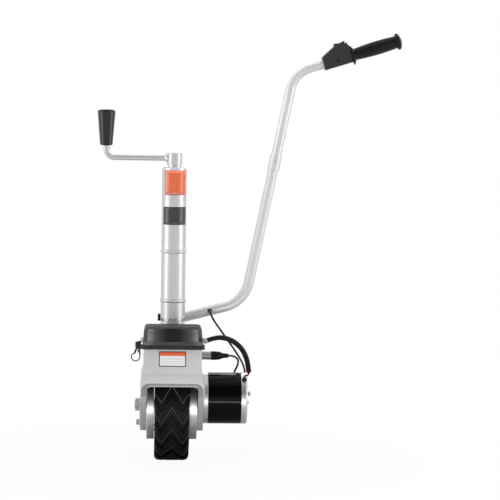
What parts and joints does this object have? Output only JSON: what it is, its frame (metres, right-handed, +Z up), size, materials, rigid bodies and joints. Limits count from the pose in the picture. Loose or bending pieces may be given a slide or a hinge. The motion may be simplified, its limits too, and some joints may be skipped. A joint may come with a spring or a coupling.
{
  "type": "motorised jockey wheel",
  "caption": "Crank jack tube on a motor-driven wheel under a pressed housing, with an electronics box, a geared side motor and a bent steering handle with a rocker switch.",
  "frame": {"origin": "on the jack tube's axis, in the middle of the plain stretch that a tube clamp holds", "axes": "+Z up along the jack tube, +X to the motor's side, +Y to the rear, away from the electronics box"},
  "size_m": [0.7536, 0.298, 1.0635],
  "materials": {
    "tube_zinc": "satin",
    "zinc_plated": "satin",
    "bright_steel": "polished",
    "housing_grey": "satin",
    "bushing": "satin",
    "bronze": "satin",
    "lid_black": "semi-gloss",
    "box_black": "satin",
    "soft_black": "matt",
    "board_green": "satin",
    "label_silver": "satin",
    "handle_silver": "gloss",
    "grip_black": "satin",
    "crank_black": "semi-gloss",
    "switch_black": "satin",
    "rocker_black": "gloss",
    "tyre_black": "matt",
    "rim_dark": "satin",
    "drum_silver": "satin",
    "gear_steel": "ground",
    "case_silver": "satin",
    "motor_black": "high gloss",
    "magnet_grey": "matt",
    "conduit_black": "satin",
    "cable_black": "satin",
    "lead_wire": "satin",
    "strap_grey": "matt"
  },
  "bodies": {
    "jack_body": {"outer_tube": "tube_zinc", "guide_bush": "bushing", "top_cap": "bright_steel", "thrust_bearing": "bright_steel"},
    "carriage": {"inner_tube": "zinc_plated", "screw_nut": "bronze", "swivel_bolt": "zinc_plated"},
    "crank": {"lead_screw": "gear_steel", "crank_arm": "zinc_plated", "crank_pins": "bright_steel"},
    "crank_grip": {"crank_grip": "crank_black"},
    "unit": {"swivel_bush": "bushing", "swivel_collar": "tube_zinc", "housing": "housing_grey", "box_base": "box_black", "lid_gasket": "soft_black", "lid": "lid_black", "cover_screws": "bright_steel", "control_board": "board_green", "label_plate": "label_silver", "socket_connector": "zinc_plated", "connector_plug": "soft_black", "handle_socket": "zinc_plated", "handle_lower": "handle_silver", "handle_upper": "handle_silver", "control_cable": "cable_black", "switch_shell_front": "switch_black", "switch_shell_rear": "switch_black", "switch_body": "switch_black", "indicator_plate": "label_silver", "hand_grip": "grip_black", "axle": "zinc_plated", "axle_spacers": "zinc_plated", "axle_fasteners": "zinc_plated", "axle_keeper": "zinc_plated", "gearcase": "case_silver", "motor_bearings": "bright_steel", "magnets": "magnet_grey", "motor_can": "motor_black", "brush_holder": "box_black", "end_cap": "case_silver", "motor_studs": "zinc_plated", "cable_glands": "soft_black", "conduit": "conduit_black", "motor_leads": "lead_wire"},
    "handle_knob": {"clamp_knob": "box_black"},
    "switch_rocker": {"rocker": "rocker_black"},
    "coupling_ring": {"connector_ring": "soft_black"},
    "tether": {"tether": "strap_grey"},
    "wheel": {"tyre": "tyre_black", "wheel_rim": "rim_dark", "drum_left": "drum_silver", "drum_right": "drum_silver", "drum_bolts": "bright_steel", "wheel_bearings": "bright_steel"},
    "carrier": {"planet_carrier": "gear_steel"},
    "planet_1": {"planet_gear_1": "gear_steel"},
    "planet_2": {"planet_gear_2": "gear_steel"},
    "planet_3": {"planet_gear_3": "gear_steel"},
    "rotor": {"rotor": "gear_steel"}
  },
  "joints": [
    {"name": "lift", "type": "slide", "parent": "jack_body", "child": "carriage", "axis": [0, 0, -1], "range_m": [0, 0.21]},
    {"name": "crank_turn", "type": "hinge", "parent": "jack_body", "child": "crank", "pos_m": [0, 0, 0.12625], "axis": [0, 0, 1], "range_deg": [0, 15120]},
    {"name": "crank_grip_spin", "type": "hinge", "parent": "crank", "child": "crank_grip", "pos_m": [-0.168, 0, 0.19925], "axis": [0, 0, 1], "continuous": true},
    {"name": "swivel", "type": "hinge", "parent": "carriage", "child": "unit", "pos_m": [0, 0, -0.32075], "axis": [0, 0, 1], "continuous": true},
    {"name": "wheel_spin", "type": "hinge", "parent": "unit", "child": "wheel", "pos_m": [0, 0, -0.48375], "axis": [1, 0, 0], "continuous": true},
    {"name": "carrier_spin", "type": "hinge", "parent": "unit", "child": "carrier", "pos_m": [0.06, 0.05669, -0.47415], "axis": [1, 0, 0], "continuous": true},
    {"name": "planet_1_spin", "type": "hinge", "parent": "carrier", "child": "planet_1", "pos_m": [0.08225, 0.0774, -0.47064], "axis": [1, 0, 0], "continuous": true},
    {"name": "planet_2_spin", "type": "hinge", "parent": "carrier", "child": "planet_2", "pos_m": [0.08225, 0.0433, -0.45797], "axis": [1, 0, 0], "continuous": true},
    {"name": "planet_3_spin", "type": "hinge", "parent": "carrier", "child": "planet_3", "pos_m": [0.08225, 0.04938, -0.49383], "axis": [1, 0, 0], "continuous": true},
    {"name": "rotor_spin", "type": "hinge", "parent": "unit", "child": "rotor", "pos_m": [0.13, 0.05669, -0.47415], "axis": [1, 0, 0], "continuous": true},
    {"name": "rocker_tilt", "type": "hinge", "parent": "unit", "child": "switch_rocker", "pos_m": [0.40581, 0.05, 0.4111], "axis": [0, 1, 0], "range_deg": [-8, 8], "stiffness_Nm_per_rad": 0.02},
    {"name": "knob_turn", "type": "hinge", "parent": "unit", "child": "handle_knob", "pos_m": [-0.0283, 0.05, -0.27175], "axis": [-1, 0, 0], "range_deg": [0, 720]},
    {"name": "ring_turn", "type": "hinge", "parent": "unit", "child": "coupling_ring", "pos_m": [0.098, 0.075, -0.36975], "axis": [1, 0, 0], "range_deg": [0, 360]},
    {"name": "tether_swing", "type": "hinge", "parent": "unit", "child": "tether", "pos_m": [-0.0825, -0.112, -0.31975], "axis": [0, 1, 0], "range_deg": [-1, 50]}
  ],
  "couplings": [
    {"joint": "crank_turn", "follows": "lift", "rad_per_m": 1256.6},
    {"joint": "carrier_spin", "follows": "wheel_spin", "ratio": 4.2857},
    {"joint": "planet_1_spin", "follows": "wheel_spin", "ratio": -10.286},
    {"joint": "planet_2_spin", "follows": "wheel_spin", "ratio": -10.286},
    {"joint": "planet_3_spin", "follows": "wheel_spin", "ratio": -10.286},
    {"joint": "rotor_spin", "follows": "wheel_spin", "ratio": 30}
  ]
}
